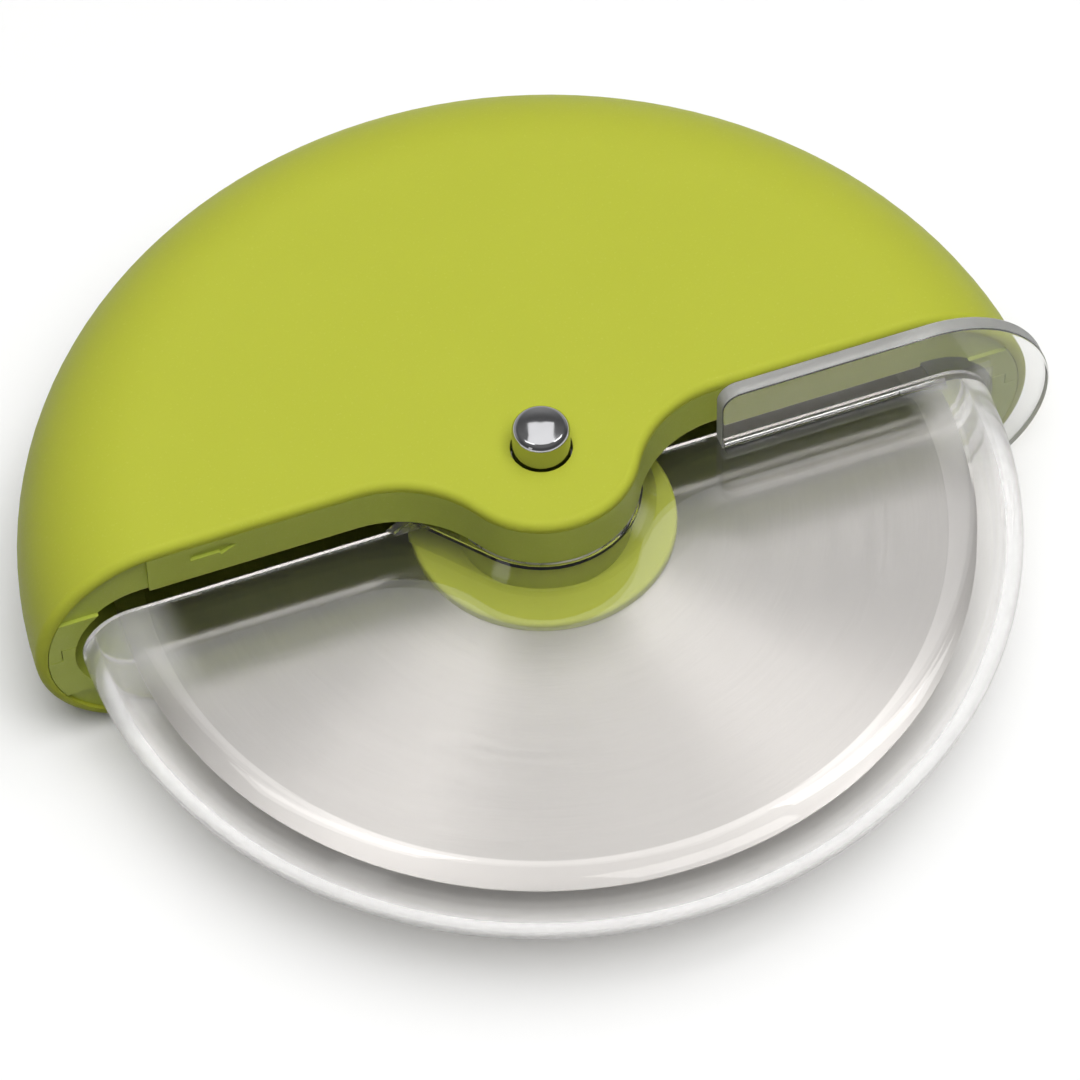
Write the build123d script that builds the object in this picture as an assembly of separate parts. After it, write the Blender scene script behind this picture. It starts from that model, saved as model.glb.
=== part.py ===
from build123d import *
import math
import os

# Pizza cutter wheel: a bevelled disc turns on a pull-out axle inside a half-round handle,
# and a clear half-round guard swings about the same axle, over the disc or into the handle.
# Millimetres and degrees. The part lies on its rear face: +Z is along the axle to the front
# face, +X runs along the handle's mouth to the thumb tab, +Y into the handle. The origin is
# on the axle's axis, in the rear face. The pieces are drawn about the disc's mid-plane and
# lifted by half the handle's thickness when they are written.

# Cutting disc
disc_radius = 51.0
disc_thickness = 1.0
bevel_width = 3.6
edge_thickness = 0.16

# Guard
guard_rim_gap = 3.4
guard_rim_wall = 1.8
guard_side_gap = 4.2
guard_wall = 1.4
guard_edge_y = 1.75
guard_edge_round = 0.3
guard_blend_radius = 3.0
boss_taper = 1.6
boss_rise = 2.05
boss_wall = 1.3
boss_spur_reach = 18.8
hub_room = 0.86

# Thumb tab on the guard
tab_start_x = 22.0
tab_reach_x = 63.8
tab_thickness = 2.0
tab_corner_radius = 2.4
tab_edge_round = 0.3
tab_foot_round = 1.3
tab_side_gap = 0.05
tab_stop_gap = 0.45

# Handle
washer_thickness = 0.35
washer_gap = 0.1
cavity_rim_gap = 0.9
liner_side_depth = 5.6
liner_rim_wall = 3.2
liner_wall = 1.5
skin_gap = 0.1
skin_wall = 1.3
lip_round = 1.0
mouth_y = 1.5
ear_radius = 11.45
ear_blend_radius = 13.9

# Ribs and lap of the liners
mouth_wall = 1.8
rib_thickness = 1.4
ring_rib_radius = 32.5
pocket_outer_radius = 47.5
axle_land_radius = 16.5
rib_count = 5
lap_wall = 1.5
lap_gap = 0.1
lap_high_z = 2.1
lap_low_z = 0.25
corner_relief_start_x = 47.45
corner_relief_low_z = 6.8
corner_relief_depth = 0.5

# Arrow sunk in the mouth wall
arrow_x = -42.3
arrow_length = 5.6
arrow_height = 2.3
arrow_shaft_height = 1.3
arrow_head_length = 2.0
arrow_depth = 0.45
arrow_side_gap = 0.5

# Axle
axle_radius = 3.4
axle_clearance = 0.05
skin_hole_gap = 0.25
axle_stand_out = 4.3
axle_edge_round = 0.9
axle_dome_radius = 12.0
cap_radius = 6.0
cap_thickness = 2.2
cap_sink = 0.2
cap_side_gap = 0.3
cap_floor = 0.9
cap_edge_round = 0.4
press_gap = 0.01

# Snap ring
ring_wire = 0.9
ring_seat_radius = 5.3
ring_seat_depth = 1.3
ring_float = 0.05
ring_groove_depth = 0.35
ring_groove_width = 1.1
ring_opening_angle = 50.0

# Hub
hub_flange_radius = 15.7
hub_flange_thickness = 1.2
hub_flange_round = 0.5
hub_boss_radius = 10.2
hub_boss_gap = 0.4
sleeve_wall = 1.2
sleeve_stand_out = 0.2
rivet_circle_radius = 7.3
rivet_count = 3
rivet_radius = 1.0
rivet_head_radius = 1.9
rivet_head_height = 0.8
rivet_sink = 0.3
rivet_hole_gap = 0.05
rivet_head_gap = 0.2

# Washers
washer_hole_gap = 0.4
washer_rim_gap = 0.2

overrun = 6.0
closeness = 0.01

# Worked out from the sizes above
disc_half = disc_thickness / 2
guard_inner_half = disc_half + guard_side_gap
guard_half = guard_inner_half + guard_wall
guard_inner_radius = disc_radius + guard_rim_gap
guard_radius = guard_inner_radius + guard_rim_wall
boss_top_z = guard_half + boss_rise
boss_ceiling_z = boss_top_z - boss_wall
boss_slope = boss_taper / boss_rise
boss_side_width = boss_wall * math.hypot(boss_taper, boss_rise) / boss_rise
hollow_top_radius = hub_boss_radius + hub_room
hollow_foot_radius = hollow_top_radius + boss_slope * (boss_ceiling_z - guard_inner_half)
boss_top_radius = hollow_top_radius + boss_side_width - boss_slope * boss_wall
boss_foot_radius = boss_top_radius + boss_taper
cavity_half = boss_top_z + washer_gap + washer_thickness
cavity_radius = guard_radius + cavity_rim_gap
liner_half = cavity_half + liner_side_depth
liner_radius = cavity_radius + liner_rim_wall
pocket_half = liner_half + skin_gap
pocket_radius = liner_radius + skin_gap
handle_half = pocket_half + skin_wall
handle_radius = pocket_radius + skin_wall
bore_radius = axle_radius + axle_clearance
hub_boss_top_z = boss_ceiling_z - hub_boss_gap
sleeve_radius = bore_radius + sleeve_wall
tab_half = handle_half - tab_side_gap
tab_back_y = mouth_y - tab_stop_gap
tab_front_y = tab_back_y - tab_thickness
cap_seat_z = -(handle_half - cap_sink - cap_thickness)
ring_seat_z = liner_half - ring_seat_depth
ring_z = ring_seat_z + ring_float + ring_wire / 2
ring_groove_radius = axle_radius - ring_groove_depth


def write(node, piece):
    lifted = Pos(0, 0, handle_half) * piece
    export_step(lifted, f"parts/{node}.step")


def drum(radius, low, high):
    # A plain cylinder about the axle between two heights.
    return Pos(0, 0, low) * extrude(Circle(radius), high - low)


def full_round_disc(radius, half):
    # A disc whose rim is a half circle as thick as the disc.
    flat = radius - half
    section = Line((0, -half), (flat, -half))
    section += ThreePointArc((flat, -half), (radius, 0), (flat, half))
    section += Line((flat, half), (0, half))
    section += Line((0, half), (0, -half))
    return revolve(Plane.XZ * make_face(section), Axis.Z)


def on_circle(centre, radius, angle):
    turn = math.radians(angle)
    return (centre[0] + radius * math.cos(turn), centre[1] + radius * math.sin(turn))


def is_level(edge):
    box = edge.bounding_box()
    return box.size.X + box.size.Y > closeness


def handle_outline():
    # Above the mouth line, with an ear round the axle that blends into the line on both sides.
    drop = ear_blend_radius - mouth_y
    reach = ear_radius + ear_blend_radius
    blend_x = math.sqrt(reach**2 - drop**2)
    to_axle = math.degrees(math.atan2(drop, -blend_x))
    centre = (blend_x, -drop)
    line_end = (blend_x, mouth_y)
    blend_mid = on_circle(centre, ear_blend_radius, (90 + to_axle) / 2)
    ear_end = on_circle(centre, ear_blend_radius, to_axle)
    side = handle_radius + overrun
    mirrored = [(-x, y) for x, y in (line_end, blend_mid, ear_end)]
    outline = Line((side, mouth_y), line_end)
    outline += ThreePointArc(line_end, blend_mid, ear_end)
    outline += ThreePointArc(ear_end, (0, -ear_radius), mirrored[2])
    outline += ThreePointArc(mirrored[2], mirrored[1], mirrored[0])
    outline += Line(mirrored[0], (-side, mouth_y))
    outline += Line((-side, mouth_y), (-side, side))
    outline += Line((-side, side), (side, side))
    outline += Line((side, side), (side, mouth_y))
    return make_face(outline)


def handle_prism():
    return extrude(handle_outline(), handle_half + overrun, both=True)


def handle_skin():
    shell = full_round_disc(handle_radius, handle_half) & handle_prism()
    lip_edges = shell.edges().filter_by(lambda edge: edge.bounding_box().max.Y < mouth_y + closeness)
    shell = fillet(lip_edges.filter_by(is_level), lip_round)
    shell -= full_round_disc(pocket_radius, pocket_half)
    shell -= drum(axle_radius + skin_hole_gap, 0, handle_half + overrun)
    shell -= drum(cap_radius + cap_side_gap, -handle_half - overrun, 0)
    return shell


def liner_blank():
    # Both liners in one: it fills the skin and leaves the cavity for the disc and guard.
    blank = full_round_disc(liner_radius, liner_half) & handle_prism()
    blank -= full_round_disc(cavity_radius, cavity_half)
    blank -= drum(bore_radius, -handle_half, handle_half)
    return blank


def lap_half(front):
    # The space on one side of the stepped lap that joins the liners round the rim.
    high = handle_half + overrun
    wide = handle_radius + overrun
    lap_radius = cavity_radius + lap_wall
    if front:
        skirt = drum(wide, lap_low_z, high) - drum(lap_radius + lap_gap / 2, lap_low_z, high)
        return skirt + drum(wide, lap_high_z + lap_gap, high)
    tongue = drum(lap_radius - lap_gap / 2, -high, lap_high_z)
    return tongue + drum(wide, -high, lap_low_z - lap_gap)


def rib_pockets():
    # The hollows behind the front liner's wall, between its ribs.
    field = Circle(pocket_outer_radius) - Circle(axle_land_radius)
    field -= Circle(ring_rib_radius + rib_thickness / 2) - Circle(ring_rib_radius - rib_thickness / 2)
    low_y = mouth_y + mouth_wall
    field &= Pos(0, low_y + handle_radius / 2) * Rectangle(2 * handle_radius, handle_radius)
    for step in range(1, rib_count + 1):
        turned = Rot(0, 0, 180 * step / (rib_count + 1))
        field -= turned * Pos(handle_radius / 2, 0) * Rectangle(handle_radius, rib_thickness)
    return Pos(0, 0, cavity_half + liner_wall) * extrude(field, liner_side_depth)


def corner_reliefs():
    # Shallow steps in the mouth face at both of a liner's corners.
    width = handle_radius - corner_relief_start_x
    height = handle_half - corner_relief_low_z
    sink = corner_relief_depth + overrun
    step = Box(width, sink, height, align=(Align.MIN, Align.MAX, Align.MIN))
    right = Pos(corner_relief_start_x, mouth_y + corner_relief_depth, corner_relief_low_z) * step
    return right + mirror(right, about=Plane.YZ)


def arrow_cut():
    # A plain arrow in the mouth face that shows which way the guard is put away.
    half_high = arrow_height / 2
    half_shaft = arrow_shaft_height / 2
    neck_x = arrow_length - arrow_head_length
    points = [
        (0, half_shaft),
        (neck_x, half_shaft),
        (neck_x, half_high),
        (arrow_length, 0),
        (neck_x, -half_high),
        (neck_x, -half_shaft),
        (0, -half_shaft),
    ]
    face = Plane.XZ * make_face(Polyline(*points, close=True))
    high_z = liner_half - arrow_side_gap - half_high
    return Pos(arrow_x, mouth_y + arrow_depth, high_z) * extrude(face, arrow_depth + overrun)


def front_liner():
    liner = liner_blank() & lap_half(True)
    liner -= rib_pockets()
    liner -= corner_reliefs()
    liner -= arrow_cut()
    liner -= drum(ring_seat_radius, ring_seat_z, handle_half)
    return liner


def rear_liner():
    liner = liner_blank() & lap_half(False)
    liner -= mirror(rib_pockets(), about=Plane.XY)
    liner -= mirror(corner_reliefs(), about=Plane.XY)
    liner -= drum(cap_radius + cap_side_gap, -handle_half, cap_seat_z)
    return liner


def boss_outline(radius):
    # A circle with a spur that runs from it to the guard's edge on the left.
    scale = radius / boss_foot_radius
    spur = (-boss_spur_reach * scale, guard_edge_y * scale)
    spur_angle = math.degrees(math.atan2(spur[1], spur[0]))
    spread = math.degrees(math.acos(radius / math.hypot(*spur)))
    touch = on_circle((0, 0), radius, spur_angle + spread)
    level = (-math.sqrt(radius**2 - spur[1]**2), spur[1])
    wedge = make_face(Polyline((0, 0), level, spur, touch, close=True))
    return Circle(radius) + wedge


def guard_boss():
    foot = Pos(0, 0, guard_half) * boss_outline(boss_foot_radius)
    crown = Pos(0, 0, boss_top_z) * boss_outline(boss_top_radius)
    return loft([foot.face(), crown.face()], ruled=True)


def boss_hollow():
    # The room for the hub in the guard's boss, with sides parallel to the boss's own.
    foot = Pos(0, 0, guard_inner_half) * boss_outline(hollow_foot_radius)
    crown = Pos(0, 0, boss_ceiling_z) * boss_outline(hollow_top_radius)
    return loft([foot.face(), crown.face()], ruled=True)


def thumb_tab():
    # A flat tab across the guard's thickness, with a full-round outer end.
    inner = tab_start_x
    corner = tab_corner_radius
    flat_x = tab_reach_x - tab_half
    shift = corner * (1 - math.sqrt(0.5))
    outline = Line((inner, -tab_half + corner), (inner, tab_half - corner))
    outline += ThreePointArc(
        (inner, tab_half - corner), (inner + shift, tab_half - shift), (inner + corner, tab_half)
    )
    outline += Line((inner + corner, tab_half), (flat_x, tab_half))
    outline += ThreePointArc((flat_x, tab_half), (tab_reach_x, 0), (flat_x, -tab_half))
    outline += Line((flat_x, -tab_half), (inner + corner, -tab_half))
    outline += ThreePointArc(
        (inner + corner, -tab_half), (inner + shift, -tab_half + shift), (inner, -tab_half + corner)
    )
    tab = Pos(0, tab_back_y, 0) * extrude(Plane.XZ * make_face(outline), tab_thickness)
    face_edges = tab.edges().filter_by(lambda edge: edge.bounding_box().size.Y < closeness)
    return fillet(face_edges, tab_edge_round)


def guard_outline():
    # Below the guard's straight edge, with a round land about the axle that blends into it.
    wide = guard_radius + overrun
    below = Pos(0, guard_edge_y) * Rectangle(2 * wide, wide, align=(Align.CENTER, Align.MAX))
    outline = below + Circle(boss_foot_radius)
    inner = outline.vertices().filter_by(
        lambda corner: abs(corner.X) < boss_foot_radius and abs(corner.Y - guard_edge_y) < closeness
    )
    return fillet(inner, guard_blend_radius)


def tab_foot():
    # The hollow-rounded strip that joins the tab's front face to the guard's front face.
    reach = tab_foot_round
    shift = reach * (1 - math.sqrt(0.5))
    low = (tab_front_y - reach, guard_half)
    high = (tab_front_y, guard_half + reach)
    section = ThreePointArc(low, (tab_front_y - shift, guard_half + shift), high)
    section += Line(high, (tab_front_y, guard_half))
    section += Line((tab_front_y, guard_half), low)
    start = tab_start_x + tab_edge_round
    length = guard_radius - guard_half - start
    return Pos(start, 0, 0) * extrude(Plane.YZ * make_face(section), length)


def blade_guard():
    prism = extrude(guard_outline(), guard_half + overrun, both=True)
    body = full_round_disc(guard_radius, guard_half) & prism
    edge_line = body.edges().filter_by(lambda edge: edge.bounding_box().min.Y > guard_edge_y - closeness)
    body = fillet(edge_line.filter_by(is_level), guard_edge_round)
    front = guard_boss() + tab_foot()
    body += thumb_tab() + front + mirror(front, about=Plane.XY)
    hollow = boss_hollow()
    body -= full_round_disc(guard_inner_radius, guard_inner_half)
    body -= hollow + mirror(hollow, about=Plane.XY)
    body -= drum(bore_radius, -handle_half, handle_half)
    return body


def rivet_places():
    return PolarLocations(rivet_circle_radius, rivet_count, start_angle=90)


def rivet_holes(radius, low, high):
    return [place * drum(radius, low, high) for place in rivet_places()]


def cutting_disc():
    section = Polyline(
        (0, -disc_half),
        (disc_radius - bevel_width, -disc_half),
        (disc_radius, -edge_thickness / 2),
        (disc_radius, edge_thickness / 2),
        (disc_radius - bevel_width, disc_half),
        (0, disc_half),
        close=True,
    )
    disc = revolve(Plane.XZ * make_face(section), Axis.Z)
    disc -= drum(sleeve_radius + press_gap, -disc_thickness, disc_thickness)
    disc -= rivet_holes(rivet_radius + rivet_hole_gap, -disc_thickness, disc_thickness)
    return disc


def front_hub():
    flange_top = disc_half + hub_flange_thickness
    flange = drum(hub_flange_radius, disc_half, flange_top)
    rim = flange.edges().filter_by(GeomType.CIRCLE).sort_by(Axis.Z)[-1]
    hub = fillet(rim, hub_flange_round) + drum(hub_boss_radius, disc_half, hub_boss_top_z)
    hub -= drum(sleeve_radius + press_gap, 0, handle_half)
    hub -= rivet_holes(rivet_radius + rivet_hole_gap, 0, handle_half)
    seat_z = hub_boss_top_z - rivet_sink - rivet_head_height
    hub -= rivet_holes(rivet_head_radius + rivet_head_gap, seat_z, handle_half)
    return hub


def hub_sleeve():
    half = hub_boss_top_z + sleeve_stand_out
    return drum(sleeve_radius, -half, half) - drum(bore_radius, -half, half)


def hub_rivets():
    head_top = hub_boss_top_z - rivet_sink
    seat_z = head_top - rivet_head_height
    rivet = drum(rivet_radius, -seat_z, seat_z)
    head = drum(rivet_head_radius, seat_z, head_top)
    rivet = rivet + head + mirror(head, about=Plane.XY)
    return Compound([place * rivet for place in rivet_places()])


def front_washer():
    low = cavity_half - washer_thickness
    outer = drum(boss_top_radius - washer_rim_gap, low, cavity_half)
    return outer - drum(axle_radius + washer_hole_gap, low, cavity_half)


def axle_pin():
    low = -(handle_half - cap_sink - cap_floor)
    top = handle_half + axle_stand_out
    dome_centre = (0, top - axle_dome_radius)
    round_x = axle_radius - axle_edge_round
    reach = axle_dome_radius - axle_edge_round
    round_centre = (round_x, dome_centre[1] + math.sqrt(reach**2 - round_x**2))
    meet_angle = math.degrees(math.acos(round_x / reach))
    shoulder = (axle_radius, round_centre[1])
    round_mid = on_circle(round_centre, axle_edge_round, meet_angle / 2)
    meet = on_circle(dome_centre, axle_dome_radius, meet_angle)
    dome_mid = on_circle(dome_centre, axle_dome_radius, (90 + meet_angle) / 2)
    section = Line((0, low), (axle_radius, low))
    section += Line((axle_radius, low), shoulder)
    section += ThreePointArc(shoulder, round_mid, meet)
    section += ThreePointArc(meet, dome_mid, (0, top))
    section += Line((0, top), (0, low))
    pin = revolve(Plane.XZ * make_face(section), Axis.Z)
    groove_low = ring_z - ring_groove_width / 2
    groove_high = ring_z + ring_groove_width / 2
    groove = drum(axle_radius + overrun, groove_low, groove_high)
    groove -= drum(ring_groove_radius, groove_low, groove_high)
    return pin - groove


def axle_cap():
    low = -(handle_half - cap_sink)
    cap = drum(cap_radius, low, cap_seat_z)
    rim = cap.edges().filter_by(GeomType.CIRCLE).sort_by(Axis.Z)[0]
    cap = fillet(rim, cap_edge_round)
    return cap - drum(axle_radius + press_gap, low + cap_floor, cap_seat_z)


def snap_ring():
    mean_radius = ring_groove_radius + ring_float + ring_wire / 2
    section = Plane.XZ * Pos(mean_radius, ring_z) * Circle(ring_wire / 2)
    wound = revolve(section, Axis.Z, 360 - ring_opening_angle)
    return Rot(0, 0, ring_opening_angle / 2 - 90) * wound


def main():
    os.makedirs("parts", exist_ok=True)
    hub = front_hub()
    washer = front_washer()
    write("handle_skin", handle_skin())
    write("front_liner", front_liner())
    write("rear_liner", rear_liner())
    write("blade_guard", blade_guard())
    write("cutting_disc", cutting_disc())
    write("front_hub", hub)
    write("rear_hub", mirror(hub, about=Plane.XY))
    write("hub_sleeve", hub_sleeve())
    write("hub_rivets", hub_rivets())
    write("front_washer", washer)
    write("rear_washer", mirror(washer, about=Plane.XY))
    write("axle_pin", axle_pin())
    write("axle_cap", axle_cap())
    write("snap_ring", snap_ring())


main()
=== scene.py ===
import math

import bmesh
import bpy
from mathutils import Matrix, Vector


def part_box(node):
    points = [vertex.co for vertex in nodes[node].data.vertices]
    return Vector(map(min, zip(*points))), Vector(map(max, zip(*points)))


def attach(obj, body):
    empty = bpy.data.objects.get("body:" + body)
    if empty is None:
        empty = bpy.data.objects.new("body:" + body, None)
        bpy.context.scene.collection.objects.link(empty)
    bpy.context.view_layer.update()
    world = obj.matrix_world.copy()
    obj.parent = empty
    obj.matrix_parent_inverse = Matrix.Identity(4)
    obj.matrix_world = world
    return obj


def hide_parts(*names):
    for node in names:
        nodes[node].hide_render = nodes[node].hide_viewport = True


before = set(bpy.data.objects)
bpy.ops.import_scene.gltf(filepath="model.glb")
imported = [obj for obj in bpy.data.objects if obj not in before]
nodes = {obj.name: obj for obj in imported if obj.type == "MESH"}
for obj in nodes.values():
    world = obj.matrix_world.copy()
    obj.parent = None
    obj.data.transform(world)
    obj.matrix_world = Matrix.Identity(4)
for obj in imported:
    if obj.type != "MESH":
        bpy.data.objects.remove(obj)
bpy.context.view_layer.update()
print("frame loaded,", len(nodes), "nodes")

mm = 0.001
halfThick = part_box("handle_skin")[1].z / 2  # height of the disc's mid-plane above the table


def addNode(tree, kind, inputs=None, **settings):
    node = tree.nodes.new(kind)
    for key, value in settings.items():
        setattr(node, key, value)
    for key, value in (inputs or {}).items():
        if isinstance(value, bpy.types.NodeSocket):
            tree.links.new(value, node.inputs[key])
        else:
            node.inputs[key].default_value = value
    return node


def calc(tree, operation, first, second=0.0, third=0.0):
    node = addNode(tree, "ShaderNodeMath", {0: first, 1: second, 2: third}, operation=operation)
    return node.outputs[0]


def distanceOut(tree, x, y):
    # distance from the axle
    squares = calc(tree, "ADD", calc(tree, "MULTIPLY", x, x), calc(tree, "MULTIPLY", y, y))
    return calc(tree, "SQRT", squares)


def ramp(tree, factor, low, high, toLow=0.0, toHigh=1.0):
    inputs = {"Value": factor, "From Min": low, "From Max": high, "To Min": toLow, "To Max": toHigh}
    return addNode(tree, "ShaderNodeMapRange", inputs, interpolation_type="SMOOTHSTEP").outputs["Result"]


def stepAt(tree, factor, middle, soft):
    return ramp(tree, factor, middle - soft, middle + soft)


def noise(tree, vector, size, detail=2.0, rough=0.5):
    # size is the pattern's grain in millimetres
    inputs = {"Vector": vector, "Scale": 1 / (size * mm), "Detail": detail, "Roughness": rough}
    return addNode(tree, "ShaderNodeTexNoise", inputs).outputs["Fac"]


def mixColor(tree, factor, first, second):
    node = addNode(tree, "ShaderNodeMix", {0: factor, 6: first, 7: second}, data_type="RGBA")
    return node.outputs[2]


def newMaterial(name):
    material = bpy.data.materials.new(name)
    material.use_nodes = True
    tree = material.node_tree
    tree.nodes.clear()
    place = tree.nodes.new("ShaderNodeTexCoord").outputs["Object"]
    return material, tree, place


def showSurface(tree, shader):
    addNode(tree, "ShaderNodeOutputMaterial", {"Surface": shader})


def fitMaterial(name, material):
    nodes[name].data.materials[0] = material


# what all the moulded plastics share
plastic = {"ior": 1.49, "specks": (0.62, 0.78), "grains": (0.3, 0.7), "grainRough": 0.6,
           "depthRadius": (0.7, 1.0, 0.2), "depthScale": 0.8}


def mouldedPlastic(name, look):
    # plastic with a fine moulded grain, for skin, liners, hub and sleeve
    material, tree, place = newMaterial(name)
    cloud = noise(tree, place, look["cloudSize"], 3)
    grain = noise(tree, place, look["grainSize"], 4, plastic["grainRough"])
    speck = ramp(tree, noise(tree, place, look["speckSize"], 1), *plastic["specks"])
    tone = mixColor(tree, cloud, look["deep"], look["color"])
    tone = mixColor(tree, calc(tree, "MULTIPLY", speck, look["speckShare"]), tone, look["speckColor"])
    low = look["roughness"] - look["roughSpread"]
    high = look["roughness"] + look["roughSpread"]
    rough = ramp(tree, grain, *plastic["grains"], low, high)
    bump = addNode(tree, "ShaderNodeBump", {
        "Strength": look["grainStrength"], "Distance": look["grainDepth"] * mm, "Height": grain})
    shader = addNode(tree, "ShaderNodeBsdfPrincipled", {
        "Base Color": tone, "Roughness": rough, "Normal": bump.outputs[0],
        "IOR": plastic["ior"], "Specular IOR Level": look["gloss"],
        "Subsurface Weight": look["depth"], "Subsurface Radius": plastic["depthRadius"],
        "Subsurface Scale": plastic["depthScale"] * mm})
    showSurface(tree, shader.outputs[0])
    return material


skinLook = {"color": (0.470, 0.508, 0.052, 1), "deep": (0.452, 0.490, 0.048, 1),
            "speckColor": (0.56, 0.60, 0.10, 1), "speckShare": 0.25, "speckSize": 0.35,
            "cloudSize": 14.0, "grainSize": 0.28, "grainStrength": 0.35, "grainDepth": 0.02,
            "roughness": 0.48, "roughSpread": 0.05, "gloss": 0.10, "depth": 0.12}
linerLook = {"color": (0.490, 0.560, 0.085, 1), "deep": (0.430, 0.500, 0.072, 1),
             "speckColor": (0.54, 0.59, 0.15, 1), "speckShare": 0.5, "speckSize": 0.30,
             "cloudSize": 5.0, "grainSize": 0.24, "grainStrength": 0.6, "grainDepth": 0.035,
             "roughness": 0.42, "roughSpread": 0.08, "gloss": 0.4, "depth": 0.08}
hubLook = {"color": (0.455, 0.505, 0.062, 1), "deep": (0.430, 0.480, 0.056, 1),
           "speckColor": (0.60, 0.64, 0.12, 1), "speckShare": 0.2, "speckSize": 0.3,
           "cloudSize": 6.0, "grainSize": 0.35, "grainStrength": 0.15, "grainDepth": 0.015,
           "roughness": 0.42, "roughSpread": 0.05, "gloss": 0.12, "depth": 0.1}
sleeveLook = {"color": (0.84, 0.84, 0.81, 1), "deep": (0.80, 0.80, 0.76, 1),
              "speckColor": (0.88, 0.88, 0.86, 1), "speckShare": 0.2, "speckSize": 0.3,
              "cloudSize": 2.0, "grainSize": 0.2, "grainStrength": 0.15, "grainDepth": 0.01,
              "roughness": 0.35, "roughSpread": 0.05, "gloss": 0.3, "depth": 0.15}

fitMaterial("handle_skin", mouldedPlastic("satinLimeSkin", skinLook))
linerPlastic = mouldedPlastic("oliveLiner", linerLook)
fitMaterial("front_liner", linerPlastic)
fitMaterial("rear_liner", linerPlastic)
hubPlastic = mouldedPlastic("glossyHub", hubLook)
for name in ("front_hub", "rear_hub", "axle_cap"):
    fitMaterial(name, hubPlastic)
fitMaterial("hub_sleeve", mouldedPlastic("whiteSleeve", sleeveLook))
print("moulded plastics set")


# lengths in millimetres; each zone adds its roughness and milk to the plate's
guardLook = {"tint": (0.985, 0.976, 0.968, 1), "tabTint": (0.90, 0.90, 0.89, 1),
             "paneTint": (0.95, 0.942, 0.935, 1), "rimPaneTint": (0.98, 0.975, 0.97, 1),
             "channelPaneTint": (0.82, 0.82, 0.81, 1), "ior": 1.52,
             "plate": {"roughness": 0.012, "milk": 0.010}, "tab": {"roughness": 0.06, "milk": 0.005},
             "sawn": {"roughness": 0.42, "milk": 0.22}, "edge": {"roughness": 0.10, "milk": 0.08},
             "rim": {"roughness": 0.035, "milk": 0.05}, "corner": {"roughness": 0.07, "milk": 0.18},
             "channel": {"roughness": 0.02, "milk": 0.01},
             "tabLow": -1.2, "tabStart": 20.5, "plateTop": 6.35, "rimOut": 56.3, "edgeLow": 1.55,
             "rimStart": 51.8, "channelEnd": 54.4, "cornerStart": 47.0, "cornerLow": -10.0,
             "sharp": 0.1, "tabSoft": 0.5, "rimSoft": 1.0, "channelSoft": 0.5, "cornerSoft": 3.0,
             "cornerLowSoft": 5.0, "sawnFacing": (0.35, 0.85), "edgeFacing": (0.6, 0.9),
             "waveSize": 9.0, "waveDepth": 0.012, "waveStrength": 0.25,
             "scratchSize": 0.16, "scratchLength": 9.0, "scratchTurn": 0.6, "scratchShare": 0.10,
             "scratches": (0.66, 0.80), "hazeSize": 6.0, "haze": 0.02, "hazes": (0.45, 0.75)}


def guardZones(tree, place, look):
    # shares of the tab, its sawn edges, the straight edge, the rim, the channel inside it and the corners
    centred = addNode(tree, "ShaderNodeMapping", {
        "Vector": place, "Location": (0, 0, -halfThick / mm), "Scale": (1 / mm, 1 / mm, 1 / mm)})
    x, y, z = addNode(tree, "ShaderNodeSeparateXYZ", {0: centred.outputs[0]}).outputs
    normal = tree.nodes.new("ShaderNodeTexCoord").outputs["Normal"]
    facing = addNode(tree, "ShaderNodeSeparateXYZ", {0: normal})
    level = calc(tree, "ABSOLUTE", facing.outputs[1])
    high = calc(tree, "ABSOLUTE", z)
    reach = distanceOut(tree, x, y)

    proud = stepAt(tree, high, look["plateTop"], look["sharp"])
    proud = calc(tree, "MAXIMUM", proud, stepAt(tree, reach, look["rimOut"], look["sharp"]))
    above = stepAt(tree, y, look["tabLow"], look["sharp"])
    right = stepAt(tree, x, look["tabStart"], look["tabSoft"])
    tab = calc(tree, "MULTIPLY", calc(tree, "MULTIPLY", proud, above), right)
    sawn = calc(tree, "MULTIPLY", tab, ramp(tree, level, *look["sawnFacing"], 1.0, 0.0))

    edge = stepAt(tree, y, look["edgeLow"], look["sharp"])
    edge = calc(tree, "MULTIPLY", edge, ramp(tree, level, *look["edgeFacing"]))

    body = calc(tree, "SUBTRACT", 1.0, tab)
    beyond = calc(tree, "MULTIPLY", stepAt(tree, reach, look["rimStart"], look["rimSoft"]), body)
    rim = calc(tree, "MULTIPLY", stepAt(tree, reach, look["channelEnd"], look["channelSoft"]), body)
    channel = calc(tree, "SUBTRACT", beyond, rim)

    corner = stepAt(tree, reach, look["cornerStart"], look["cornerSoft"])
    cornerHigh = stepAt(tree, y, look["cornerLow"], look["cornerLowSoft"])
    corner = calc(tree, "MULTIPLY", calc(tree, "MULTIPLY", corner, cornerHigh), body)
    return {"tab": tab, "sawn": sawn, "edge": edge, "rim": rim, "channel": channel, "corner": corner}


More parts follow.
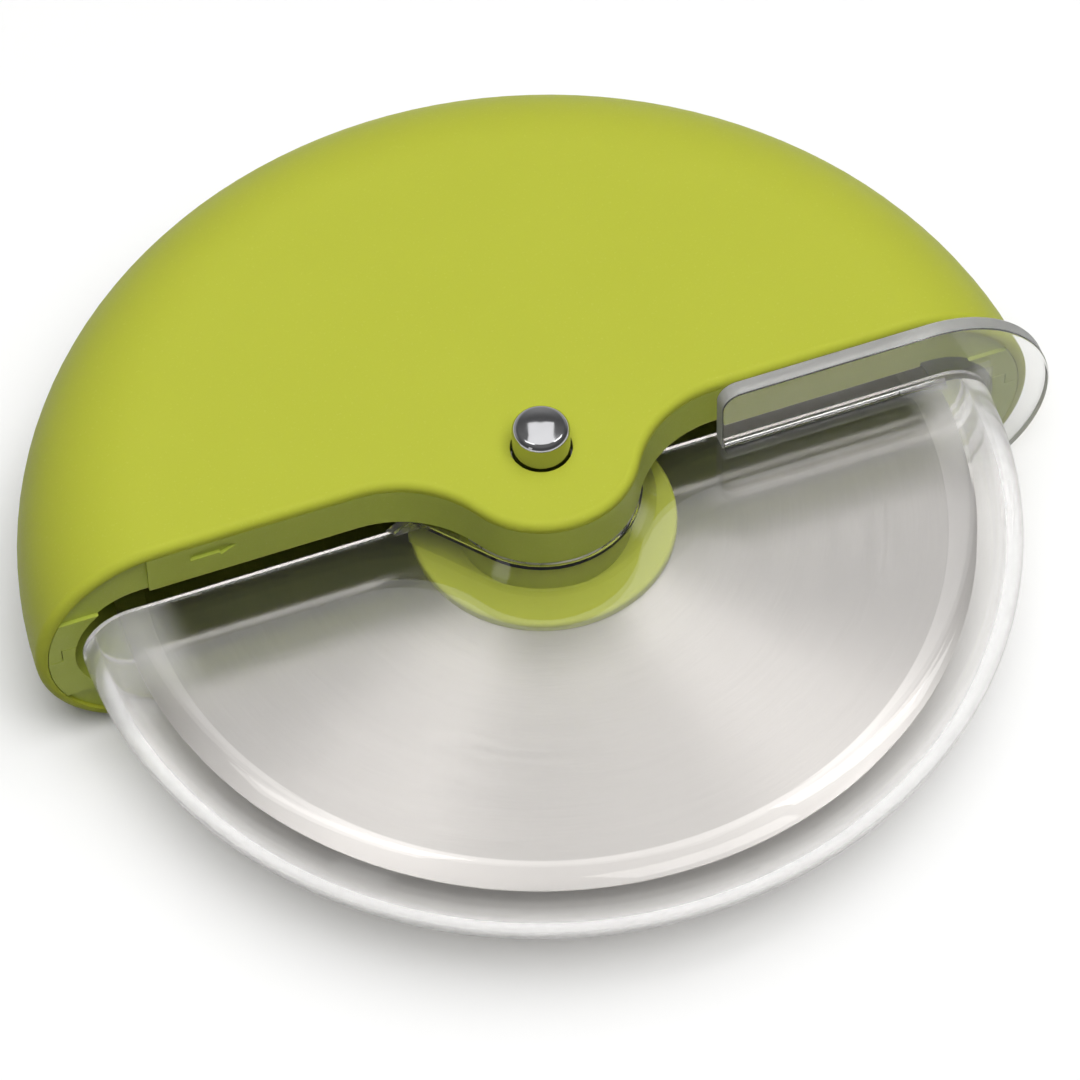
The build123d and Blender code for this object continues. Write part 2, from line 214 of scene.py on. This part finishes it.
def clearPlastic(name, look):
    # glass for the eye, an open pane for the lamps' light
    material, tree, place = newMaterial(name)
    zones = guardZones(tree, place, look)
    turned = addNode(tree, "ShaderNodeMapping", {
        "Vector": place, "Rotation": (0, 0, look["scratchTurn"]),
        "Scale": (1 / look["scratchLength"], 1, 1)})
    scratch = ramp(tree, noise(tree, turned.outputs[0], look["scratchSize"], 2, 0.6), *look["scratches"])
    patch = ramp(tree, noise(tree, place, look["hazeSize"], 2), *look["hazes"])
    scratch = calc(tree, "MULTIPLY", calc(tree, "MULTIPLY", scratch, patch), look["scratchShare"])
    rough = calc(tree, "MULTIPLY_ADD", patch, look["haze"], look["plate"]["roughness"])
    rough = calc(tree, "ADD", rough, scratch)
    clear = 1.0 - look["plate"]["milk"]
    for zone, share in zones.items():
        rough = calc(tree, "MULTIPLY_ADD", share, look[zone]["roughness"], rough)
        clear = calc(tree, "MULTIPLY_ADD", share, -look[zone]["milk"], clear)
    wave = noise(tree, place, look["waveSize"], 1)
    bump = addNode(tree, "ShaderNodeBump", {
        "Strength": look["waveStrength"], "Distance": look["waveDepth"] * mm,
        "Height": calc(tree, "SUBTRACT", wave, scratch)})
    tint = mixColor(tree, zones["tab"], look["tint"], look["tabTint"])
    glass = addNode(tree, "ShaderNodeBsdfPrincipled", {
        "Base Color": tint, "Roughness": rough, "Normal": bump.outputs[0],
        "IOR": look["ior"], "Transmission Weight": clear})
    paneColor = mixColor(tree, zones["rim"], look["paneTint"], look["rimPaneTint"])
    paneColor = mixColor(tree, zones["channel"], paneColor, look["channelPaneTint"])
    openPane = addNode(tree, "ShaderNodeBsdfTransparent", {"Color": paneColor})
    path = tree.nodes.new("ShaderNodeLightPath")
    inner = addNode(tree, "ShaderNodeMixShader", {
        0: path.outputs["Is Diffuse Ray"], 1: glass.outputs[0], 2: openPane.outputs[0]})
    outer = addNode(tree, "ShaderNodeMixShader", {
        0: path.outputs["Is Shadow Ray"], 1: inner.outputs[0], 2: openPane.outputs[0]})
    showSurface(tree, outer.outputs[0])
    return material


fitMaterial("blade_guard", clearPlastic("clearGuard", guardLook))
print("clear guard set")


def roundMarks(tree, place, across, along):
    # marks that run round the axle: fine across the radius, long along the turn
    x, y, _ = addNode(tree, "ShaderNodeSeparateXYZ", {0: place}).outputs
    flat = addNode(tree, "ShaderNodeVectorMath", {0: place, 1: (1, 1, 0)}, operation="MULTIPLY")
    around = addNode(tree, "ShaderNodeVectorMath", {0: flat.outputs[0]}, operation="NORMALIZE")
    turn = addNode(tree, "ShaderNodeSeparateXYZ", {0: around.outputs[0]})
    vector = addNode(tree, "ShaderNodeCombineXYZ", {
        0: calc(tree, "MULTIPLY", turn.outputs[0], along),
        1: calc(tree, "MULTIPLY", turn.outputs[1], along),
        2: calc(tree, "DIVIDE", distanceOut(tree, x, y), across * mm)})
    marks = addNode(tree, "ShaderNodeTexNoise", {
        "Vector": vector.outputs[0], "Scale": 1.0, "Detail": 3.0, "Roughness": 0.65})
    return marks.outputs["Fac"]


# what the disc's two steels share, the brushed flat and the ground bevel
brushing = {"fineShare": 0.65, "marks": (0.3, 0.7)}


def brushedSteel(name, look):
    material, tree, place = newMaterial(name)
    fine = roundMarks(tree, place, look["fineAcross"], look["fineAlong"])
    wide = roundMarks(tree, place, look["wideAcross"], look["wideAlong"])
    wide = calc(tree, "MULTIPLY", wide, 1 - brushing["fineShare"])
    marks = calc(tree, "MULTIPLY_ADD", fine, brushing["fineShare"], wide)
    tone = mixColor(tree, ramp(tree, marks, *brushing["marks"]), look["dark"], look["color"])
    low = look["roughness"] - look["spread"]
    high = look["roughness"] + look["spread"]
    rough = ramp(tree, marks, *brushing["marks"], low, high)
    bump = addNode(tree, "ShaderNodeBump", {
        "Strength": look["markStrength"], "Distance": look["markDepth"] * mm, "Height": marks})
    tangent = addNode(tree, "ShaderNodeTangent", direction_type="RADIAL", axis="Z")
    shader = addNode(tree, "ShaderNodeBsdfPrincipled", {
        "Base Color": tone, "Metallic": 1.0, "Roughness": rough, "Normal": bump.outputs[0],
        "Anisotropic": look["stretch"], "Anisotropic Rotation": look["turn"],
        "Tangent": tangent.outputs[0]})
    showSurface(tree, shader.outputs[0])
    return material


# smears and hair scratches on the polished pieces
wear = {"smears": (0.35, 0.7), "smearRough": 1.5, "hairs": (0.62, 0.8), "hairTurn": 0.9, "hairStretch": 0.1,
        "hairRough": 0.05, "hairStrength": 0.1, "hairDepth": 0.004}


def polishedMetal(name, look):
    material, tree, place = newMaterial(name)
    smear = noise(tree, place, look["smearSize"], 2)
    turned = addNode(tree, "ShaderNodeMapping", {
        "Vector": place, "Rotation": (0, 0, wear["hairTurn"]), "Scale": (wear["hairStretch"], 1, 1)})
    hair = ramp(tree, noise(tree, turned.outputs[0], look["hairSize"], 2, 0.6), *wear["hairs"])
    tone = mixColor(tree, smear, look["dark"], look["color"])
    low = look["roughness"]
    rough = ramp(tree, smear, *wear["smears"], low, low * wear["smearRough"])
    rough = calc(tree, "ADD", rough, calc(tree, "MULTIPLY", hair, wear["hairRough"]))
    bump = addNode(tree, "ShaderNodeBump", {
        "Strength": wear["hairStrength"], "Distance": wear["hairDepth"] * mm, "Height": hair})
    shader = addNode(tree, "ShaderNodeBsdfPrincipled", {
        "Base Color": tone, "Metallic": 1.0, "Roughness": rough, "Normal": bump.outputs[0]})
    showSurface(tree, shader.outputs[0])
    return material


discLook = {"color": (0.69, 0.67, 0.65, 1), "dark": (0.63, 0.61, 0.59, 1), "roughness": 0.34,
            "spread": 0.045, "stretch": 0.96, "turn": 0.25, "fineAcross": 0.09, "fineAlong": 5.0,
            "wideAcross": 0.9, "wideAlong": 2.0, "markStrength": 0.03, "markDepth": 0.004}
# ground steel for the bevel; its colour, lighter than the flat's, is a painted highlight for the light the
# tilted bevel catches
bevelPaintedHighlightLook = {"color": (0.86, 0.84, 0.82, 1), "dark": (0.83, 0.81, 0.79, 1), "roughness": 0.38,
             "spread": 0.015, "stretch": 0.80, "turn": 0.25, "fineAcross": 0.06, "fineAlong": 9.0,
             "wideAcross": 0.7, "wideAlong": 3.0, "markStrength": 0.006, "markDepth": 0.004}
pinLook = {"color": (0.47, 0.47, 0.48, 1), "dark": (0.40, 0.40, 0.41, 1), "roughness": 0.07,
           "smearSize": 2.5, "hairSize": 0.12}
smallLook = {"color": (0.66, 0.66, 0.67, 1), "dark": (0.56, 0.56, 0.57, 1), "roughness": 0.26,
             "smearSize": 1.5, "hairSize": 0.10}

discSteel = brushedSteel("roundBrushedSteel", discLook)
bevelSteelPaintedHighlight = brushedSteel("groundBevelSteelPaintedHighlight", bevelPaintedHighlightLook)
smallSteel = polishedMetal("rolledSteel", smallLook)
fitMaterial("axle_pin", polishedMetal("polishedPin", pinLook))
fitMaterial("front_washer", smallSteel)
fitMaterial("rear_washer", smallSteel)
print("metals set")


# kinds of named input on the trees below
number, length, steel = "NodeSocketInt", "NodeSocketFloat", "NodeSocketMaterial"
mergeDistance = 0.002 * mm


def newShape(name, sockets):
    tree = bpy.data.node_groups.new(name, "GeometryNodeTree")
    tree.interface.new_socket(name="Geometry", in_out="OUTPUT", socket_type="NodeSocketGeometry")
    for label, kind in sockets:
        tree.interface.new_socket(name=label, in_out="INPUT", socket_type=kind)
    return tree, tree.nodes.new("NodeGroupInput").outputs


def liftBy(tree, geometry, height):
    up = addNode(tree, "ShaderNodeCombineXYZ", {2: height})
    lifted = addNode(tree, "GeometryNodeTransform", {"Geometry": geometry, "Translation": up.outputs[0]})
    return lifted.outputs[0]


def endShape(tree, geometry, material):
    real = addNode(tree, "GeometryNodeRealizeInstances", {0: geometry})
    painted = addNode(tree, "GeometryNodeSetMaterial", {"Geometry": real.outputs[0], "Material": material})
    addNode(tree, "NodeGroupOutput", {0: painted.outputs[0]})


def plainMesh(name, tree, values, sharpAngle):
    # runs the tree once and keeps its result as an ordinary mesh
    carrier = bpy.data.objects.new(name + "Carrier", bpy.data.meshes.new(name + "Carrier"))
    bpy.context.scene.collection.objects.link(carrier)
    modifier = carrier.modifiers.new("shape", "NODES")
    modifier.node_group = tree
    for item in tree.interface.items_tree:
        if item.in_out == "INPUT":
            modifier[item.identifier] = values[item.name]
    evaluated = carrier.evaluated_get(bpy.context.evaluated_depsgraph_get())
    mesh = bpy.data.meshes.new_from_object(evaluated)
    carrier.modifiers.remove(modifier)
    bpy.data.objects.remove(carrier)
    tidy = bmesh.new()
    tidy.from_mesh(mesh)
    bmesh.ops.remove_doubles(tidy, verts=tidy.verts, dist=mergeDistance)
    bmesh.ops.recalc_face_normals(tidy, faces=tidy.faces)
    for face in tidy.faces:
        face.smooth = True
    tidy.to_mesh(mesh)
    tidy.free()
    mesh.set_sharp_from_angle(angle=math.radians(sharpAngle))
    mesh.name = name
    piece = bpy.data.objects.new(name, mesh)
    bpy.context.scene.collection.objects.link(piece)
    return piece


def sectionCurve(tree, points):
    # a closed section from radius and height pairs, drawn about the path it is swept along
    loop = addNode(tree, "GeometryNodeCurvePrimitiveCircle", {"Resolution": len(points), "Radius": 1.0})
    pick = tree.nodes.new("GeometryNodeIndexSwitch")
    pick.data_type = "VECTOR"
    while len(pick.index_switch_items) < len(points):
        pick.index_switch_items.new()
    tree.links.new(tree.nodes.new("GeometryNodeInputIndex").outputs[0], pick.inputs["Index"])
    for slot, (across, height) in enumerate(points):
        spot = addNode(tree, "ShaderNodeCombineXYZ", {0: across, 1: calc(tree, "MULTIPLY", height, -1.0)})
        tree.links.new(spot.outputs[0], pick.inputs[slot + 1])
    placed = addNode(tree, "GeometryNodeSetPosition", {
        "Geometry": loop.outputs[0], "Position": pick.outputs[0]})
    return placed.outputs[0]


def turnedSection(tree, section, pathRadius, steps):
    # sweeps a section round the axle
    path = addNode(tree, "GeometryNodeCurvePrimitiveCircle", {"Resolution": steps, "Radius": pathRadius})
    level = addNode(tree, "GeometryNodeSetCurveNormal", {0: path.outputs[0]}, mode="Z_UP")
    swept = addNode(tree, "GeometryNodeCurveToMesh", {
        "Curve": level.outputs[0], "Profile Curve": section})
    return swept.outputs[0]


# the cutting disc is turned from its section
discShape = {"Radius": 51.0 * mm, "Half Thickness": 0.5 * mm, "Bevel Width": 3.6 * mm,
             "Half Edge": 0.08 * mm, "Bore Radius": 4.66 * mm, "Height": halfThick, "Steps": 360,
             "Flat Steel": discSteel, "Bevel Steel": bevelSteelPaintedHighlight}
discSharp = 3.0  # degrees, keeps the line between flat and bevel


def discTree():
    tree, given = newShape("bevelledDisc", [
        ("Radius", length), ("Half Thickness", length), ("Bevel Width", length), ("Half Edge", length),
        ("Bore Radius", length), ("Height", length), ("Steps", number),
        ("Flat Steel", steel), ("Bevel Steel", steel)])
    pathRadius = calc(tree, "MULTIPLY", given["Radius"], 0.5)
    flatRadius = calc(tree, "SUBTRACT", given["Radius"], given["Bevel Width"])
    bore = calc(tree, "SUBTRACT", given["Bore Radius"], pathRadius)
    flat = calc(tree, "SUBTRACT", flatRadius, pathRadius)
    edge = calc(tree, "SUBTRACT", given["Radius"], pathRadius)
    half, thin = given["Half Thickness"], given["Half Edge"]
    lowHalf, lowThin = calc(tree, "MULTIPLY", half, -1.0), calc(tree, "MULTIPLY", thin, -1.0)
    section = sectionCurve(tree, [(bore, lowHalf), (flat, lowHalf), (edge, lowThin),
                                  (edge, thin), (flat, half), (bore, half)])
    disc = turnedSection(tree, section, pathRadius, given["Steps"])
    lifted = liftBy(tree, disc, given["Height"])
    where = addNode(tree, "GeometryNodeInputPosition")
    axes = addNode(tree, "ShaderNodeSeparateXYZ", {0: where.outputs[0]}).outputs
    reach = distanceOut(tree, axes[0], axes[1])
    onBevel = addNode(tree, "FunctionNodeCompare", {0: reach, 1: calc(tree, "ADD", flat, pathRadius)},
                      data_type="FLOAT", operation="GREATER_THAN")
    real = addNode(tree, "GeometryNodeRealizeInstances", {0: lifted})
    plain = addNode(tree, "GeometryNodeSetMaterial", {
        "Geometry": real.outputs[0], "Material": given["Flat Steel"]})
    ground = addNode(tree, "GeometryNodeSetMaterial", {
        "Geometry": plain.outputs[0], "Selection": onBevel.outputs[0], "Material": given["Bevel Steel"]})
    addNode(tree, "NodeGroupOutput", {0: ground.outputs[0]})
    return tree


disc = plainMesh("bevelledDisc", discTree(), discShape, discSharp)
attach(disc, "wheel")
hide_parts("cutting_disc")
print("disc turned")


# three rivets alike on a circle round the axle
rivetShape = {"Circle Radius": 7.3 * mm, "Count": 3, "Shank Radius": 1.0 * mm, "Head Radius": 1.9 * mm,
              "Seat": 5.35 * mm, "Head Top": 6.15 * mm, "Edge": 0.2 * mm, "Height": halfThick,
              "Steps": 48, "Steel": smallSteel}
heartShare = 0.999  # the section stops just short of the rivet's own axis
smallSharp = 35.0  # degrees


def rivetTree():
    tree, given = newShape("hubRivets", [
        ("Circle Radius", length), ("Count", number), ("Shank Radius", length), ("Head Radius", length),
        ("Seat", length), ("Head Top", length), ("Edge", length), ("Height", length), ("Steps", number),
        ("Steel", steel)])
    pathRadius = calc(tree, "MULTIPLY", given["Shank Radius"], 0.5)
    heart = calc(tree, "MULTIPLY", pathRadius, -heartShare)
    shank = calc(tree, "SUBTRACT", given["Shank Radius"], pathRadius)
    head = calc(tree, "SUBTRACT", given["Head Radius"], pathRadius)
    inset = calc(tree, "SUBTRACT", head, given["Edge"])
    shoulder = calc(tree, "SUBTRACT", given["Head Top"], given["Edge"])
    upper = [(heart, given["Head Top"]), (inset, given["Head Top"]), (head, shoulder),
             (head, given["Seat"]), (shank, given["Seat"])]
    lower = [(across, calc(tree, "MULTIPLY", height, -1.0)) for across, height in reversed(upper)]
    section = sectionCurve(tree, upper + lower)
    rivet = turnedSection(tree, section, pathRadius, given["Steps"])
    ring = addNode(tree, "GeometryNodeMeshCircle", {
        "Vertices": given["Count"], "Radius": given["Circle Radius"]})
    up = addNode(tree, "ShaderNodeCombineXYZ", {2: given["Height"]})
    spots = addNode(tree, "GeometryNodeTransform", {
        "Geometry": ring.outputs[0], "Translation": up.outputs[0], "Rotation": (0, 0, math.pi / 2)})
    copies = addNode(tree, "GeometryNodeInstanceOnPoints", {"Points": spots.outputs[0], "Instance": rivet})
    endShape(tree, copies.outputs[0], given["Steel"])
    return tree


rivets = plainMesh("hubRivets", rivetTree(), rivetShape, smallSharp)
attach(rivets, "wheel")
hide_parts("hub_rivets")
print("rivets placed")


# the snap ring is a wire that follows an open arc
ringShape = {"Mean Radius": 3.55 * mm, "Wire Radius": 0.45 * mm, "Start": math.radians(-65.0),
             "Sweep": math.radians(310.0), "Height": halfThick + 13.4 * mm, "Steps": 96, "Around": 20,
             "Steel": smallSteel}


def ringTree():
    tree, given = newShape("snapRing", [
        ("Mean Radius", length), ("Wire Radius", length), ("Start", length), ("Sweep", length),
        ("Height", length), ("Steps", number), ("Around", number), ("Steel", steel)])
    arc = addNode(tree, "GeometryNodeCurveArc", {
        "Resolution": given["Steps"], "Radius": given["Mean Radius"],
        "Start Angle": given["Start"], "Sweep Angle": given["Sweep"]})
    wire = addNode(tree, "GeometryNodeCurvePrimitiveCircle", {
        "Resolution": given["Around"], "Radius": given["Wire Radius"]})
    swept = addNode(tree, "GeometryNodeCurveToMesh", {
        "Curve": arc.outputs[0], "Profile Curve": wire.outputs[0], "Fill Caps": True})
    endShape(tree, liftBy(tree, swept.outputs[0], given["Height"]), given["Steel"])
    return tree


ring = plainMesh("snapRing", ringTree(), ringShape, smallSharp)
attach(ring, "handle")
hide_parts("snap_ring")
print("snap ring wound")


white = (1, 1, 1, 1)
stageLook = {"floorSize": 8.0, "floorColor": (0.94, 0.94, 0.935, 1), "floorGlow": 0.04,
             "nearRadius": 0.16, "farRadius": 0.45, "bounceColor": (0.22, 0.22, 0.22, 1),
             "room": (0.12, 0.12, 0.12, 1), "backdrop": (0.55, 0.55, 0.55, 1),
             "overhead": (0.25, 0.25, 0.25, 1), "fill": (0.07, 0.07, 0.07, 1),
             "behind": (0.05, 0.75), "backdropTop": (0.40, 0.70), "overheadStart": (0.55, 0.95),
             "horizon": (0.05, 0.12)}


def pathShare(tree):
    # 1 for what the eye, metal and glass see, 0 for the light on the object
    path = tree.nodes.new("ShaderNodeLightPath")
    seen = calc(tree, "MAXIMUM", path.outputs["Is Camera Ray"], path.outputs["Is Glossy Ray"])
    return calc(tree, "MAXIMUM", seen, path.outputs["Is Transmission Ray"])


def paleFloor(look):
    # white to the eye and in reflections, with the shadow near the object,
    # and greyer for the light it throws back
    material, tree, place = newMaterial("paleFloor")
    matt = addNode(tree, "ShaderNodeBsdfDiffuse", {"Color": look["floorColor"]})
    glow = addNode(tree, "ShaderNodeEmission", {"Strength": look["floorGlow"]})
    near = addNode(tree, "ShaderNodeAddShader", {0: matt.outputs[0], 1: glow.outputs[0]})
    far = addNode(tree, "ShaderNodeEmission", {"Strength": 1.0})
    reach = addNode(tree, "ShaderNodeVectorMath", {0: place}, operation="LENGTH").outputs["Value"]
    away = ramp(tree, reach, look["nearRadius"], look["farRadius"])
    pale = addNode(tree, "ShaderNodeMixShader", {0: away, 1: near.outputs[0], 2: far.outputs[0]})
    grey = addNode(tree, "ShaderNodeBsdfDiffuse", {"Color": look["bounceColor"]})
    both = addNode(tree, "ShaderNodeMixShader", {
        0: pathShare(tree), 1: grey.outputs[0], 2: pale.outputs[0]})
    showSurface(tree, both.outputs[0])
    half = look["floorSize"] / 2
    corners = [(-half, -half, 0), (half, -half, 0), (half, half, 0), (-half, half, 0)]
    mesh = bpy.data.meshes.new("floor")
    mesh.from_pydata(corners, [], [(0, 1, 2, 3)])
    mesh.materials.append(material)
    floor = bpy.data.objects.new("floor", mesh)
    bpy.context.scene.collection.objects.link(floor)


def softRoom(look):
    # eye, metal and glass see a grey room with a white horizon, the object gets a dim even fill
    world = bpy.data.worlds.new("softRoom")
    world.use_nodes = True
    tree = world.node_tree
    tree.nodes.clear()
    direction = tree.nodes.new("ShaderNodeTexCoord").outputs["Generated"]
    way = addNode(tree, "ShaderNodeSeparateXYZ", {0: direction})
    behind = ramp(tree, way.outputs[1], *look["behind"])
    low = ramp(tree, way.outputs[2], *look["backdropTop"], 1.0, 0.0)
    tone = mixColor(tree, ramp(tree, way.outputs[2], *look["overheadStart"]), look["room"], look["overhead"])
    tone = mixColor(tree, calc(tree, "MULTIPLY", behind, low), tone, look["backdrop"])
    horizon = ramp(tree, way.outputs[2], *look["horizon"], 1.0, 0.0)
    room = addNode(tree, "ShaderNodeBackground", {"Color": mixColor(tree, horizon, tone, white)})
    fill = addNode(tree, "ShaderNodeBackground", {"Color": look["fill"]})
    seen = addNode(tree, "ShaderNodeMixShader", {
        0: pathShare(tree), 1: fill.outputs[0], 2: room.outputs[0]})
    addNode(tree, "ShaderNodeOutputWorld", {"Surface": seen.outputs[0]})
    bpy.context.scene.world = world


aimPoint = Vector((0, 0, 0.01))


def addSoftbox(name, box):
    spot = Vector(box["spot"])
    data = bpy.data.lights.new(name, "AREA")
    data.shape = "RECTANGLE"
    data.size, data.size_y = box["size"]
    data.energy = box["radiance"] * math.pi * box["size"][0] * box["size"][1]
    lamp = bpy.data.objects.new(name, data)
    bpy.context.scene.collection.objects.link(lamp)
    lamp.location = spot
    lamp.rotation_euler = (aimPoint - spot).to_track_quat("-Z", "Y").to_euler()
    lamp.visible_glossy = "metal" in box["seenBy"]
    lamp.visible_transmission = "glass" in box["seenBy"]
    lamp.visible_diffuse = "matt" in box["seenBy"]


# the wide box above and behind shows in the metal, the two small ones draw the disc's fans,
# the front one shines through the edge of the guard, and the roof box lights the matt pieces
softboxes = {
    "topBox": {"spot": (0.16, 0.46, 1.20), "size": (0.54, 0.85), "radiance": 1.4,
               "seenBy": "metal glass matt"},
    "rightBox": {"spot": (0.554, 0.157, 1.166), "size": (0.36, 0.36), "radiance": 3.8,
                 "seenBy": "metal glass matt"},
    "leftBox": {"spot": (-0.255, 0.275, 1.244), "size": (0.36, 0.36), "radiance": 2.6,
                "seenBy": "metal glass matt"},
    "frontBox": {"spot": (0.26, -0.76, 1.09), "size": (0.70, 0.50), "radiance": 3.2, "seenBy": "glass"},
    "roofBox": {"spot": (0.0, -0.42, 1.40), "size": (1.3, 0.95), "radiance": 5.1, "seenBy": "matt"},
    "sideStrip": {"spot": (-1.05, -0.70, 0.45), "size": (0.25, 0.6), "radiance": 0.9,
                  "seenBy": "metal glass"},
}

paleFloor(stageLook)
softRoom(stageLook)
for name, box in softboxes.items():
    addSoftbox(name, box)
print("stage lit")


viewPoint = {"lens": 205.87, "sensor": 36.0, "azimuth": -18.768, "elevation": 53.587, "roll": -1.609,
             "distance": 724.15 * mm, "across": 0.414 * mm, "up": 1.465 * mm}


def addCamera(view):
    turn, rise, roll = (math.radians(view[key]) for key in ("azimuth", "elevation", "roll"))
    back = Vector((math.sin(turn) * math.cos(rise), -math.cos(turn) * math.cos(rise), math.sin(rise)))
    level = Vector((math.cos(turn), math.sin(turn), 0))
    upright = back.cross(level)
    right = math.cos(roll) * level + math.sin(roll) * upright
    up = math.cos(roll) * upright - math.sin(roll) * level
    axle = Vector((0, 0, halfThick))
    data = bpy.data.cameras.new("view")
    data.sensor_width = view["sensor"]
    data.lens = view["lens"]
    camera = bpy.data.objects.new("view", data)
    bpy.context.scene.collection.objects.link(camera)
    turned = Matrix((right, up, back)).transposed().to_4x4()
    spot = axle + view["distance"] * back - view["across"] * right - view["up"] * up
    camera.matrix_world = Matrix.Translation(spot) @ turned
    bpy.context.scene.camera = camera


addCamera(viewPoint)
bpy.context.scene.view_settings.view_transform = "Standard"
